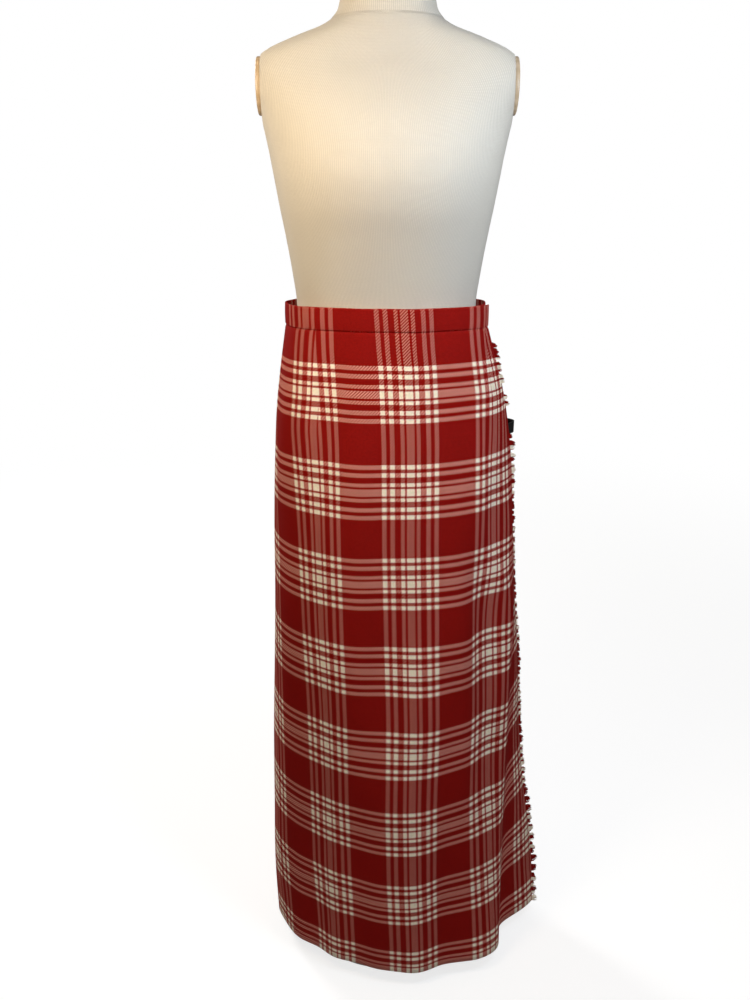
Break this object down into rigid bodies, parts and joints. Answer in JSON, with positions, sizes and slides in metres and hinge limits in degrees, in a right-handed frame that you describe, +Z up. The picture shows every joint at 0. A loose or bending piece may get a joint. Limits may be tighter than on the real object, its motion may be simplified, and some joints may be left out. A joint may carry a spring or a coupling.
{
  "type": "kilt on dress form",
  "caption": "Full length wrapped kilt of woven plaid with a flat fringed front apron, knife pleats behind, a waistband and a hip strap, on a limbless dress form that stands on a round base.",
  "frame": {"origin": "middle of the round base's underside, on the floor", "axes": "+Z up along the form's pole, -Y out of the kilt's front, +X to the right seen from the front"},
  "size_m": [0.4472, 0.3264, 1.4523],
  "materials": {
    "plaid_cloth": "worsted twill, red ground with cream stripes, matt",
    "plaid_fringe": "loose weft yarns of the same cloth",
    "black_leather": "smooth, slightly worn",
    "dull_steel": "satin",
    "form_jersey": "cream ribbed jersey drawn tight",
    "form_wood": "satin varnish",
    "form_metal": "pale satin enamel"
  },
  "bodies": {
    "root": {"over_apron": "plaid_cloth", "pleated_back": "plaid_cloth", "under_apron": "plaid_cloth", "waistband": "plaid_cloth", "apron_fringe": "plaid_fringe", "hip_strap": "black_leather", "buckle_chape": "black_leather", "hip_buckle": "dull_steel", "buckle_prong": "dull_steel", "form_body": "form_jersey", "form_neck_cap": "form_wood", "form_arm_plate_left": "form_wood", "form_arm_plate_right": "form_wood", "form_pole": "form_metal", "form_base": "form_metal"}
  },
  "joints": []
}
